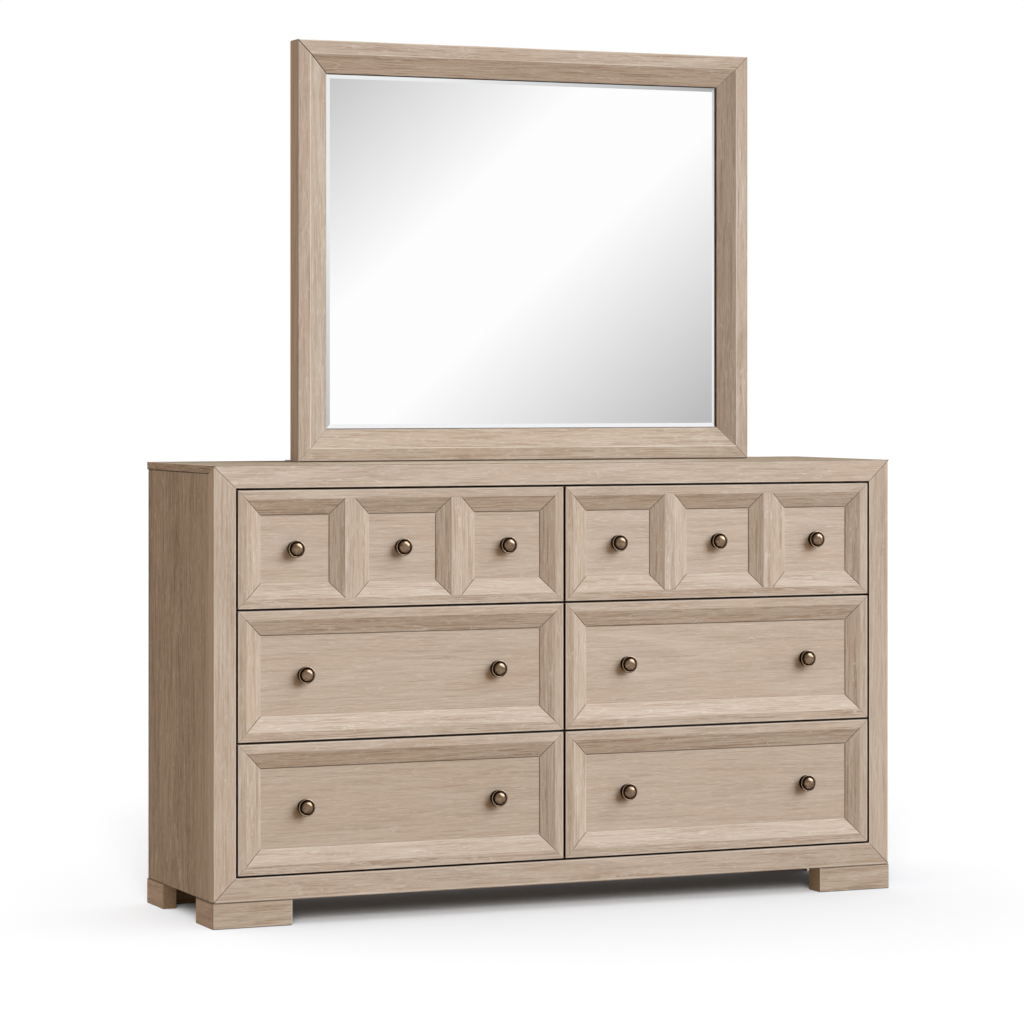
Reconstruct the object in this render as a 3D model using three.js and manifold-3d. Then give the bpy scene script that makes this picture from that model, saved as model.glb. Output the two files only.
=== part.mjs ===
// Dresser with mirror: six inset drawers in a mitred face frame on bracket feet,
// and a framed mirror that stands on the top. Millimetres, +Z up, the front faces -Y.
// The pieces are laid out with the face of the frame at y = 0, and the whole group is then
// moved along Y so that the origin is at the middle of the object's footprint, on the floor.

import * as THREE from 'three';
import { mergeVertices } from 'three/addons/utils/BufferGeometryUtils.js';
import Module from 'manifold-3d';

const wasm = await Module();
wasm.setup();

// Driving dimensions of the case
const caseWidth = 1645;
const caseDepth = 457;
const caseHeight = 990;
const topThickness = 17;
const topNose = 1;
const sideThickness = 18;
const sideRecess = 3;
const backThickness = 6;
const backLap = 9;
const deckThickness = 18;
const partitionThickness = 18;
const dadoDepth = 5;

// Face frame
const stileWidth = 52;
const topRailWidth = 49;
const bottomRailWidth = 52;
const frameThickness = 30;

// Bracket feet
const footHeight = 55;
const footWingLength = 180;
const footWingThickness = 53;
const footSideLength = 115;
const footSideThickness = 31;

// Web frames between the rows, with the runner that guides each drawer
const webMemberWidth = 55;
const webCentreWidth = 90;
const webPanelThickness = 6;
const guideWidth = 22;
const guideHeight = 10;
const stopWidth = 74;
const stopLength = 18;

// Drawers
const rowCount = 3;
const topRowHeight = 255;
const frontGap = 4;
const middleGap = 5;
const frontThickness = 22;
const boxWall = 12;
const boxInset = 8;
const boxLift = 8;
const boxDrop = 14;
const boxRearClearance = 24;
const bottomHeight = 15;
const bottomThickness = 5;
const grooveDepth = 6;
const guideClearance = 1.5;

// Moulding of the drawer fronts
const mouldFlat = 20;
const mouldBevel = 34;
const mouldRecess = 10;
const dividerFlat = 24;
const topPanelCount = 3;

// Dovetails that lock the drawer sides into the front
const tailPitch = 52;
const tailLength = 13;
const tailNeck = 24;
const tailFlare = 3;

// Knobs
const knobLength = 21;
const knobBaseRadius = 17;
const knobBaseThickness = 3;
const knobNeckRadius = 6.5;
const knobNeckLength = 4.5;
const knobRimRadius = 19;
const knobRimHeight = 12;
const knobRimThickness = 3;
const knobDomeRadius = 14.5;
const knobFacets = 20;
const knobCurveSteps = 3;
const knobInset = 156;

// Mirror
const mirrorWidth = 1126;
const mirrorHeight = 945;
const mirrorThickness = 50;
const mirrorSetBack = 272;
const mirrorOffset = 33;
const mirrorFlat = 30;
const mirrorBevel = 43;
const mirrorBevelDepth = 15;
const mirrorLip = 5;
const mirrorRebate = 8;
const glassThickness = 5;
const glassBevelWidth = 18;
const glassBevelDepth = 2;
const glassFit = 0.6;
const backingThickness = 4;

// Angle brackets behind the mirror
const bracketWidth = 40;
const bracketThickness = 3;
const bracketRise = 95;
const bracketReach = 70;

// Clearances
const seat = 0.3;
const overrun = 2;

// Heights and places that follow from the sizes above
const halfWidth = caseWidth / 2;
const topUnderside = caseHeight - topThickness;
const openingHalf = halfWidth - stileWidth;
const openingTop = caseHeight - topRailWidth;
const openingBottom = footHeight + bottomRailWidth;
const openingHeight = openingTop - openingBottom;
const lowerRowHeight = (openingHeight - topRowHeight - (rowCount + 1) * frontGap) / (rowCount - 1);
const frontWidth = openingHalf - frontGap - middleGap / 2;
const columnCentre = (openingHalf - frontGap + middleGap / 2) / 2;
const innerFace = halfWidth - sideRecess - sideThickness;
const backFace = caseDepth - backThickness;
const boxRear = backFace - boxRearClearance;
const structureFront = frameThickness + seat;
const structureRear = backFace - seat;
const knobProud = knobLength - mouldRecess;
const rowHeights = Array.from({ length: rowCount }, (_, row) => (row === 0 ? topRowHeight : lowerRowHeight));
const rowBottoms = rowHeights.map((_, row) => {
  const above = rowHeights.slice(0, row + 1);
  return above.reduce((level, height) => level - frontGap - height, openingTop);
});

// Materials
const oak = new THREE.MeshStandardMaterial({ color: 0xb7a28c, roughness: 0.62, metalness: 0 });
const oakSide = new THREE.MeshStandardMaterial({ color: 0x9c8873, roughness: 0.65, metalness: 0 });
const drawerWood = new THREE.MeshStandardMaterial({ color: 0xcdb592, roughness: 0.6, metalness: 0 });
const sheetBoard = new THREE.MeshStandardMaterial({ color: 0x8f7757, roughness: 0.75, metalness: 0 });
const agedBrass = new THREE.MeshStandardMaterial({ color: 0x6d5a43, roughness: 0.38, metalness: 1 });
const silvered = new THREE.MeshStandardMaterial({ color: 0xe9edee, roughness: 0.03, metalness: 1 });
const zincSteel = new THREE.MeshStandardMaterial({ color: 0xb4b6b8, roughness: 0.4, metalness: 1 });

const dresser = new THREE.Group();
dresser.position.y = (knobProud - caseDepth) / 2;

// Puts a named piece into the dresser
function addPiece(name, geometry, material) {
  const mesh = new THREE.Mesh(geometry, material);
  mesh.name = name;
  dresser.add(mesh);
  return mesh;
}

// A block between two corners
function block([x0, y0, z0], [x1, y1, z1]) {
  const geometry = new THREE.BoxGeometry(x1 - x0, y1 - y0, z1 - z0);
  return geometry.translate((x0 + x1) / 2, (y0 + y1) / 2, (z0 + z1) / 2);
}

// An outline extruded along one axis. The outline's two numbers are (y, z) along X,
// (z, x) along Y and (x, y) along Z.
function prism(outline, axis, from, to) {
  const shape = new THREE.Shape(outline.map(([u, v]) => new THREE.Vector2(u, v)));
  const geometry = new THREE.ExtrudeGeometry(shape, { depth: to - from, bevelEnabled: false });
  geometry.translate(0, 0, from);
  const x = new THREE.Vector3(1, 0, 0);
  const y = new THREE.Vector3(0, 1, 0);
  const z = new THREE.Vector3(0, 0, 1);
  const turns = { x: [y, z, x], y: [z, x, y], z: [x, y, z] };
  return geometry.applyMatrix4(new THREE.Matrix4().makeBasis(...turns[axis]));
}

// A solid through a stack of rectangles that lie square to Y, from the lowest y up, each
// given by its place along Y and the half sizes across it
function rectangleLoft(sections) {
  const corners = [[-1, -1], [1, -1], [1, 1], [-1, 1]];
  const positions = sections.flatMap(({ y, halfX, halfZ }) =>
    corners.flatMap(([cx, cz]) => [cx * halfX, y, cz * halfZ]));
  const sides = corners.length;
  const last = (sections.length - 1) * sides;
  const faces = [0, 1, 2, 0, 2, 3, last, last + 2, last + 1, last, last + 3, last + 2];
  for (let ring = 0; ring < last; ring += sides) {
    for (let i = 0; i < sides; i += 1) {
      const j = (i + 1) % sides;
      faces.push(ring + i, ring + sides + i, ring + sides + j);
      faces.push(ring + i, ring + sides + j, ring + j);
    }
  }
  const geometry = new THREE.BufferGeometry();
  geometry.setAttribute('position', new THREE.Float32BufferAttribute(positions, 3));
  geometry.setIndex(faces);
  return geometry;
}

// Closed mesh to solid, and back
function toSolid(geometry) {
  const bare = geometry.clone();
  bare.deleteAttribute('normal');
  bare.deleteAttribute('uv');
  const merged = mergeVertices(bare);
  return new wasm.Manifold(new wasm.Mesh({
    numProp: 3,
    vertProperties: new Float32Array(merged.attributes.position.array),
    triVerts: new Uint32Array(merged.index.array),
  }));
}

function toGeometry(solid) {
  const mesh = solid.getMesh();
  const geometry = new THREE.BufferGeometry();
  geometry.setAttribute('position', new THREE.BufferAttribute(mesh.vertProperties, 3));
  geometry.setIndex(new THREE.BufferAttribute(mesh.triVerts, 1));
  geometry.computeVertexNormals();
  return geometry;
}

// One geometry with others cut away, or joined on
function cut(base, cutters) {
  const solid = cutters.reduce((rest, cutter) => rest.subtract(toSolid(cutter)), toSolid(base));
  return toGeometry(solid);
}

function join(base, parts) {
  const solid = parts.reduce((whole, part) => whole.add(toSolid(part)), toSolid(base));
  return toGeometry(solid);
}

// A frame member with mitred ends. Its section has the distance in from the frame's outer
// edge and the depth behind its face. Each end leans by the width of the member it meets.
function mitredMember(section, width, length, startWidth, endWidth) {
  const shape = new THREE.Shape(section.map(([u, v]) => new THREE.Vector2(u, v)));
  const geometry = new THREE.ExtrudeGeometry(shape, { depth: length, bevelEnabled: false });
  const position = geometry.attributes.position;
  for (let i = 0; i < position.count; i += 1) {
    const across = position.getX(i) / width;
    const along = position.getZ(i) < length / 2
      ? seat / 2 + across * startWidth
      : length - seat / 2 - across * endWidth;
    position.setZ(i, along);
  }
  return geometry;
}

// Sets a frame member in place: which way is in from the outer edge, and where it starts
function setMember(geometry, inward, corner) {
  const deeper = new THREE.Vector3(0, 1, 0);
  const along = new THREE.Vector3().crossVectors(inward, deeper);
  const place = new THREE.Matrix4().makeBasis(inward, deeper, along).setPosition(...corner);
  return geometry.applyMatrix4(place);
}

const toRight = new THREE.Vector3(1, 0, 0);
const toLeft = new THREE.Vector3(-1, 0, 0);
const upward = new THREE.Vector3(0, 0, 1);
const downward = new THREE.Vector3(0, 0, -1);

// Top: its front edge is a long mitre, so that only the rail's face shows from the front
// and the top's edge meets the stile in a slanted joint at the side
function addTop() {
  const outline = [
    [0, caseHeight - topNose],
    [frameThickness, topUnderside],
    [caseDepth, topUnderside],
    [caseDepth, caseHeight],
    [0, caseHeight],
  ];
  addPiece('top_panel', prism(outline, 'x', -halfWidth, halfWidth), oak);
}

// Face frame: two stiles and two rails, mitred from the outer corner to the opening's corner
function addFaceFrame() {
  const frameHeight = caseHeight - footHeight - seat;
  const plain = (width) => [[0, 0], [width, 0], [width, frameThickness], [0, frameThickness]];
  const underTop = [
    [topNose + seat, 0],
    [topRailWidth, 0],
    [topRailWidth, frameThickness],
    [topThickness + seat, frameThickness],
  ];
  const slope = (topThickness - topNose) / frameThickness;
  const reach = frameThickness + overrun;
  const overTop = [
    [-overrun, caseHeight - topNose - seat + overrun * slope],
    [reach, caseHeight - topNose - seat - reach * slope],
    [reach, caseHeight + overrun],
    [-overrun, caseHeight + overrun],
  ];
  const topCutter = prism(overTop, 'x', -halfWidth - overrun, halfWidth + overrun);
  const foot = footHeight + seat;

  const left = mitredMember(plain(stileWidth), stileWidth, frameHeight, bottomRailWidth, topRailWidth);
  setMember(left, toRight, [-halfWidth, 0, foot]);
  addPiece('face_stile_left', cut(left, [topCutter]), oak);

  const right = mitredMember(plain(stileWidth), stileWidth, frameHeight, topRailWidth, bottomRailWidth);
  setMember(right, toLeft, [halfWidth, 0, caseHeight]);
  addPiece('face_stile_right', cut(right, [topCutter]), oak);

  const top = mitredMember(underTop, topRailWidth, caseWidth, stileWidth, stileWidth);
  addPiece('face_rail_top', setMember(top, downward, [-halfWidth, 0, caseHeight]), oak);

  const bottom = mitredMember(plain(bottomRailWidth), bottomRailWidth, caseWidth, stileWidth, stileWidth);
  addPiece('face_rail_bottom', setMember(bottom, upward, [halfWidth, 0, foot]), oak);
}

// The levels of the decks that carry the three rows, from the top down. The lowest is the
// bottom panel of the case and the others are web frames.
const deckTops = rowBottoms.map((bottom) => bottom + boxLift);

// Grooves that house decks in an upright board, on the side that faces +X or -X
function deckDadoes(face, direction, levels) {
  return levels.map((level) => {
    const inner = face - direction * dadoDepth;
    const outer = face + direction * overrun;
    return block(
      [Math.min(inner, outer), structureFront - overrun, level - deckThickness - seat],
      [Math.max(inner, outer), structureRear + seat, level + seat],
    );
  });
}

// Sides: set back a little behind the stile's and the top's faces, rebated for the back
function addSides() {
  for (const [name, direction] of [['left', -1], ['right', 1]]) {
    const outer = direction * (halfWidth - sideRecess);
    const inner = direction * innerFace;
    const lap = direction * (innerFace + backLap);
    const outline = [
      [inner, structureFront],
      [outer, structureFront],
      [outer, caseDepth],
      [lap, caseDepth],
      [lap, backFace],
      [inner, backFace],
    ];
    const board = prism(outline, 'z', footHeight + seat, topUnderside - seat);
    addPiece(`side_panel_${name}`, cut(board, deckDadoes(inner, -direction, deckTops)), oakSide);
  }
}

// Back, bottom and the upright between the two columns
function addInnerCase() {
  const backHalf = innerFace + backLap - seat;
  const back = block(
    [-backHalf, backFace + seat, footHeight + seat],
    [backHalf, caseDepth, topUnderside - seat],
  );
  addPiece('back_panel', back, sheetBoard);

  const webLevels = deckTops.slice(0, -1);
  const bottomTop = deckTops[webLevels.length];
  const bottomHalf = innerFace + dadoDepth - seat;
  const board = block(
    [-bottomHalf, structureFront, bottomTop - deckThickness],
    [bottomHalf, structureRear, bottomTop],
  );
  const guides = [-columnCentre, columnCentre].flatMap((centre) => drawerGuide(centre, bottomTop));
  addPiece('bottom_panel', join(board, guides), drawerWood);

  const half = partitionThickness / 2;
  const upright = block([-half, structureFront, bottomTop + seat], [half, structureRear, topUnderside - seat]);
  const dadoes = [...deckDadoes(-half, -1, webLevels), ...deckDadoes(half, 1, webLevels)];
  addPiece('center_partition', cut(upright, dadoes), drawerWood);
}

// A guide strip along the middle of a drawer's way, with the stop that its back meets.
// Both are let into the deck by the overrun, so that they join with it as one piece.
function drawerGuide(centre, level) {
  const strip = block(
    [centre - guideWidth / 2, structureFront, level - overrun],
    [centre + guideWidth / 2, boxRear + seat + stopLength, level + guideHeight],
  );
  const stop = block(
    [centre - stopWidth / 2, boxRear + seat, level - overrun],
    [centre + stopWidth / 2, boxRear + seat + stopLength, level + guideHeight],
  );
  return [strip, stop];
}

// Web frames: front, back, end and centre members around two thin panels
function addWebFrames() {
  const innerEdge = partitionThickness / 2 - dadoDepth + seat;
  const outerEdge = innerFace + dadoDepth - seat;
  const pocketDepth = (deckThickness - webPanelThickness) / 2;
  const levels = { upper: deckTops[0], lower: deckTops[1] };
  for (const [levelName, level] of Object.entries(levels)) {
    for (const [sideName, direction] of [['left', -1], ['right', 1]]) {
      const near = Math.min(direction * innerEdge, direction * outerEdge);
      const far = Math.max(direction * innerEdge, direction * outerEdge);
      const centre = direction * columnCentre;
      const board = block([near, structureFront, level - deckThickness], [far, structureRear, level]);
      const spans = [
        [near + webMemberWidth, centre - webCentreWidth / 2],
        [centre + webCentreWidth / 2, far - webMemberWidth],
      ];
      const pockets = spans.flatMap(([x0, x1]) => {
        const y0 = structureFront + webMemberWidth;
        const y1 = structureRear - webMemberWidth;
        const floor = level - deckThickness;
        return [
          block([x0, y0, level - pocketDepth], [x1, y1, level + overrun]),
          block([x0, y0, floor - overrun], [x1, y1, floor + pocketDepth]),
        ];
      });
      const frame = join(cut(board, pockets), drawerGuide(centre, level));
      addPiece(`web_frame_${levelName}_${sideName}`, frame, drawerWood);
    }
  }
}

// Feet: an L of a long wing along the front or back and a short one along the side
function addFeet() {
  for (const [endName, endFace, inward] of [['front', 0, 1], ['rear', caseDepth, -1]]) {
    for (const [sideName, direction] of [['left', -1], ['right', 1]]) {
      const edge = direction * halfWidth;
      const x = (distance) => edge - direction * distance;
      const y = (distance) => endFace + inward * distance;
      const outline = [
        [x(0), y(0)],
        [x(footWingLength), y(0)],
        [x(footWingLength), y(footWingThickness)],
        [x(footSideThickness), y(footWingThickness)],
        [x(footSideThickness), y(footSideLength)],
        [x(0), y(footSideLength)],
      ];
      addPiece(`foot_${endName}_${sideName}`, prism(outline, 'z', 0, footHeight), oak);
    }
  }
}

// The recess of one moulded panel: slopes down from the flat border to the panel
function panelRecess(centreX, centreZ, width, height) {
  const slope = mouldBevel / mouldRecess;
  const sections = [
    { y: -overrun, halfX: width / 2 + overrun * slope, halfZ: height / 2 + overrun * slope },
    { y: mouldRecess, halfX: width / 2 - mouldBevel, halfZ: height / 2 - mouldBevel },
  ];
  return rectangleLoft(sections).translate(centreX, 0, centreZ);
}

// The outline of the tails at the front end of a drawer side, as closed trapezoids in (y, z)
function tailOutlines(low, high, clearance) {
  const count = Math.max(1, Math.floor((high - low) / tailPitch));
  const pitch = (high - low) / count;
  return Array.from({ length: count }, (_, i) => {
    const middle = low + (i + 1 / 2) * pitch;
    const neck = tailNeck / 2 + clearance;
    const head = neck + tailFlare;
    const tip = frontThickness - tailLength - clearance;
    return [
      [frontThickness, middle - neck],
      [frontThickness, middle + neck],
      [tip, middle + head],
      [tip, middle - head],
    ];
  });
}

// One drawer: moulded front, dovetailed box, and the bottom that slides into its grooves
function addDrawer(name, centre, row) {
  const low = rowBottoms[row];
  const height = rowHeights[row];
  const half = frontWidth / 2;
  const boxHalf = half - boxInset;
  const boxLow = low + boxLift + seat;
  const boxHigh = low + height - boxDrop;
  const panels = row === 0 ? topPanelCount : 1;
  const panelWidth = (frontWidth - 2 * mouldFlat - (panels - 1) * dividerFlat) / panels;
  const panelHeight = height - 2 * mouldFlat;
  const panelCentres = Array.from({ length: panels }, (_, i) =>
    centre - half + mouldFlat + panelWidth / 2 + i * (panelWidth + dividerFlat));
  const recesses = panelCentres.map((x) => panelRecess(x, low + height / 2, panelWidth, panelHeight));

  const sides = [-1, 1].map((direction) => {
    const outer = centre + direction * boxHalf;
    const inner = outer - direction * boxWall;
    return [Math.min(outer, inner), Math.max(outer, inner)];
  });
  const sockets = sides.flatMap(([x0, x1]) =>
    tailOutlines(boxLow, boxHigh, seat).map((outline) => {
      const deep = outline.map(([y, z]) => [y === frontThickness ? y + overrun : y, z]);
      return prism(deep, 'x', x0 - seat, x1 + seat);
    }));
  const bottomLow = boxLow + bottomHeight;
  const bottomHalf = boxHalf - boxWall + grooveDepth;
  const boxBack = boxRear - boxWall;
  const groove = block(
    [centre - bottomHalf, frontThickness - grooveDepth, bottomLow - seat],
    [centre + bottomHalf, boxBack + grooveDepth, bottomLow + bottomThickness + seat],
  );
  const board = block([centre - half, 0, low], [centre + half, frontThickness, low + height]);
  addPiece(`${name}_front`, cut(board, [...recesses, ...sockets, groove]), oak);

  const runners = sides.flatMap(([x0, x1]) => [
    block([x0, frontThickness + seat, boxLow], [x1, boxRear, boxHigh]),
    ...tailOutlines(boxLow, boxHigh, 0).map((outline) => {
      const rooted = outline.map(([y, z]) => [y === frontThickness ? y + overrun : y, z]);
      return prism(rooted, 'x', x0, x1);
    }),
  ]);
  const back = block(
    [centre - boxHalf + boxWall / 2, boxBack, boxLow],
    [centre + boxHalf - boxWall / 2, boxRear, boxHigh],
  );
  const notchHalf = guideWidth / 2 + guideClearance;
  const notch = block(
    [centre - notchHalf, boxBack - overrun, boxLow - overrun],
    [centre + notchHalf, boxRear + overrun, boxLow + guideHeight + guideClearance],
  );
  addPiece(`${name}_box`, cut(join(back, runners), [groove, notch]), drawerWood);

  const bottom = block(
    [centre - bottomHalf + seat, frontThickness - grooveDepth + seat, bottomLow],
    [centre + bottomHalf - seat, boxBack + grooveDepth - seat, bottomLow + bottomThickness],
  );
  addPiece(`${name}_bottom`, bottom, sheetBoard);

  const knobPlaces = row === 0 ? panelCentres : [centre - half + knobInset, centre + half - knobInset];
  knobPlaces.forEach((x, i) => {
    addPiece(`${name}_knob_${i + 1}`, knob().translate(x, mouldRecess, low + height / 2), agedBrass);
  });
}

// A turned knob: flanged base, narrow neck, rolled rim and a domed button in its middle.
// It stands on the panel at y = 0 and points to -Y.
function knob() {
  const neckEnd = knobBaseThickness + knobNeckLength;
  const rimEnd = knobRimHeight + knobRimThickness;
  const profile = new THREE.Path();
  profile.moveTo(0, seat);
  profile.lineTo(knobBaseRadius, seat);
  profile.lineTo(knobBaseRadius, knobBaseThickness / 2);
  profile.quadraticCurveTo(knobNeckRadius, knobBaseThickness, knobNeckRadius, neckEnd);
  profile.quadraticCurveTo(knobNeckRadius, knobRimHeight, knobRimRadius, knobRimHeight);
  profile.lineTo(knobRimRadius, rimEnd);
  profile.lineTo(knobDomeRadius, rimEnd);
  profile.quadraticCurveTo(knobDomeRadius, knobLength, 0, knobLength);
  const geometry = new THREE.LatheGeometry(profile.getPoints(knobCurveSteps), knobFacets);
  return geometry.rotateX(Math.PI);
}

// Mirror: four mitred members with a sloped inner moulding, bevelled glass in the rebate
// behind their lip, and a backing board
function addMirror() {
  const face = mirrorFlat + mirrorBevel;
  const glassFront = mirrorBevelDepth + mirrorLip;
  const rebateEdge = face - mirrorRebate;
  const section = [
    [0, 0],
    [mirrorFlat, 0],
    [face, mirrorBevelDepth],
    [face, glassFront],
    [rebateEdge, glassFront],
    [rebateEdge, mirrorThickness],
    [0, mirrorThickness],
  ];
  const low = caseHeight + seat;
  const high = low + mirrorHeight;
  const left = mirrorOffset - mirrorWidth / 2;
  const right = mirrorOffset + mirrorWidth / 2;
  const members = [
    ['mirror_stile_left', mirrorHeight, toRight, [left, mirrorSetBack, low]],
    ['mirror_stile_right', mirrorHeight, toLeft, [right, mirrorSetBack, high]],
    ['mirror_rail_top', mirrorWidth, downward, [left, mirrorSetBack, high]],
    ['mirror_rail_bottom', mirrorWidth, upward, [right, mirrorSetBack, low]],
  ];
  for (const [name, length, inward, corner] of members) {
    addPiece(name, setMember(mitredMember(section, face, length, face, face), inward, corner), oak);
  }

  const halfX = mirrorWidth / 2 - rebateEdge - glassFit;
  const halfZ = mirrorHeight / 2 - rebateEdge - glassFit;
  const front = mirrorSetBack + glassFront + seat;
  const glassBack = front + glassThickness;
  const middle = (low + high) / 2;
  const glass = rectangleLoft([
    { y: front, halfX: halfX - glassBevelWidth, halfZ: halfZ - glassBevelWidth },
    { y: front + glassBevelDepth, halfX, halfZ },
    { y: glassBack, halfX, halfZ },
  ]);
  addPiece('mirror_glass', glass.translate(mirrorOffset, 0, middle), silvered);
  const backing = block(
    [mirrorOffset - halfX, glassBack + seat, middle - halfZ],
    [mirrorOffset + halfX, glassBack + seat + backingThickness, middle + halfZ],
  );
  addPiece('mirror_backing', backing, sheetBoard);
}

// Angle brackets that hold the mirror's stiles upright on the top
function addBrackets() {
  const low = caseHeight + seat;
  const back = mirrorSetBack + mirrorThickness + seat;
  const outline = [
    [back, low],
    [back + bracketReach, low],
    [back + bracketReach, low + bracketThickness],
    [back + bracketThickness, low + bracketThickness],
    [back + bracketThickness, low + bracketRise],
    [back, low + bracketRise],
  ];
  const place = (mirrorWidth - mirrorFlat - mirrorBevel + mirrorRebate) / 2;
  for (const [name, direction] of [['left', -1], ['right', 1]]) {
    const centre = mirrorOffset + direction * place;
    const bracket = prism(outline, 'x', centre - bracketWidth / 2, centre + bracketWidth / 2);
    addPiece(`mirror_bracket_${name}`, bracket, zincSteel);
  }
}

addTop();
addFaceFrame();
addSides();
addInnerCase();
addWebFrames();
addFeet();
addMirror();
addBrackets();

for (const [columnName, direction] of [['left', -1], ['right', 1]]) {
  for (let row = 0; row < rowCount; row += 1) {
    addDrawer(`drawer_${columnName}_${row + 1}`, direction * columnCentre, row);
  }
}

export default dresser;
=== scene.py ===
import math

import bmesh
import bpy
import numpy as np
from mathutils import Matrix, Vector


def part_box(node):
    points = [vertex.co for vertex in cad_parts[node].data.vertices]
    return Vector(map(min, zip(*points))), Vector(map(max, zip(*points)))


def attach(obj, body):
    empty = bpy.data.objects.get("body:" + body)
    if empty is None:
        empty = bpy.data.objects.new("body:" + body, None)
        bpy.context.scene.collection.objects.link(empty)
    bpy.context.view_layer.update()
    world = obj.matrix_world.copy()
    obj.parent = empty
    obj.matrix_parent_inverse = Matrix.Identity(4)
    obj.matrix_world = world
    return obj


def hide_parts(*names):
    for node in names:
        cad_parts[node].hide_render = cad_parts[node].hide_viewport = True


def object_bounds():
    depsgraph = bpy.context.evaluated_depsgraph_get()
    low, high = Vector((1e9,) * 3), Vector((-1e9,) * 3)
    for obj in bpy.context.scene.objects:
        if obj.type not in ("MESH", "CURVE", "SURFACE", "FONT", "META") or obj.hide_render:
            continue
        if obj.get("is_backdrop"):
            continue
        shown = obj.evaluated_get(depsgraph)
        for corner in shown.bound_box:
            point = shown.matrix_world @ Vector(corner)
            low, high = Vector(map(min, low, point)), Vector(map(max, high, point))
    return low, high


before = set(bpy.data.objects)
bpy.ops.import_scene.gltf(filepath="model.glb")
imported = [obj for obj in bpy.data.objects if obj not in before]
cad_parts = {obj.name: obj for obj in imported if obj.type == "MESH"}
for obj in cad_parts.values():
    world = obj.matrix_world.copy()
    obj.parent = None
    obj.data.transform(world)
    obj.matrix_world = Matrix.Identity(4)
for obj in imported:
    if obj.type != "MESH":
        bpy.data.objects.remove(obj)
cad_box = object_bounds()

# Camera
# The dresser is seen from the front left through a long lens that is held level. The frame is
# shifted down, so that the uprights of the case and of the mirror stay upright in the picture.
lens_position = (-3.3536, -7.6382, 1.1587)
turn_to_right = math.radians(23.514)
camera_data = bpy.data.cameras.new("camera")
camera_data.lens = 128.75
camera_data.sensor_width = 36
camera_data.shift_y = -0.12233
camera_data.clip_end = 200
camera = bpy.data.objects.new("camera", camera_data)
camera.location = lens_position
camera.rotation_euler = (math.radians(90), 0, -turn_to_right)
bpy.context.scene.collection.objects.link(camera)
bpy.context.scene.camera = camera

# Top
# One wide oak board between two lippings, limed and sealed with a matt lacquer. Its front edge is
# planed to a long mitre over the face frame, so that from the front only a thin line of it shows.
mm = 0.001
dice = np.random.default_rng(7)
case_half, case_depth = 822.5, 457
case_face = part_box("face_rail_top")[0].y
case_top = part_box("top_panel")[1].z
frame_thickness = 30
top_thickness, nose = 17, 1
slope = (top_thickness - nose) / frame_thickness
top_outline = [(0, 0), (case_depth, 0), (case_depth, top_thickness),
               (frame_thickness, top_thickness), (0, nose)]
RIGHT, BACK, UP = np.eye(3)

# The rings at a board's end: how far each stands inside it, how deep a joint's groove or a free
# end's rounding draws it in, and its wear and shade, from -1 for the dark line of a joint through 0 to
# 1 for a free end's pale arris, which is rubbed wear and a painted highlight
ring_steps = np.array([0, 0.6, 1.2, 3.0]) * mm
groove_depth = np.array([0.35, 0, 0, 0]) * mm
end_rounding = np.array([0.8, 0.1, 0, 0]) * mm
end_wear = (0.6, 1.0, 0.3, 0)


def eased(outline, radius=1.0, worn_and_shaded=1.0, fade=0.9, steps=4, finish=None):
    """A closed outline in millimetres with its corners rounded. A corner P becomes the curve
    (1-t)^2 A + 2t(1-t) P + t^2 B, with A and B one radius from P along its two edges. The wear and
    shade is that of the corner all round its arc, and falls to nothing one fade further along each
    edge. Above zero it is a pale rubbed arris, which is also a painted highlight; below zero it is
    the dark of joints and painted shade in gaps, creases and along the floor, and
    finish(across, deep, wear) may add both."""
    corner = np.asarray(outline, float)
    count = len(corner)
    radius, worn_and_shaded, fade = (np.broadcast_to(np.asarray(value, float), count) for value in (radius, worn_and_shaded, fade))
    t = np.linspace(0, 1, steps)[None, :, None]

    def along_edge(other, distance, share):
        edge = other - corner
        length = np.linalg.norm(edge, axis=1)
        reach = np.minimum(distance, share * length)
        return corner + edge * (reach / length)[:, None]

    last, after = np.roll(corner, 1, 0), np.roll(corner, -1, 0)
    a, b = along_edge(last, radius, 0.3)[:, None], along_edge(after, radius, 0.3)[:, None]
    arc = (1 - t) ** 2 * a + 2 * t * (1 - t) * corner[:, None] + t**2 * b
    shoulder_a = along_edge(last, radius + fade, 0.45)[:, None]
    shoulder_b = along_edge(after, radius + fade, 0.45)[:, None]
    points = np.concatenate([shoulder_a, arc, shoulder_b], 1)
    wear = np.zeros((count, steps + 2))
    wear[:, 1:-1] = worn_and_shaded[:, None]
    points, wear = points.reshape(-1, 2), wear.reshape(-1)
    if finish:
        wear = finish(points[:, 0], points[:, 1], wear)
    return points * mm, wear


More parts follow.
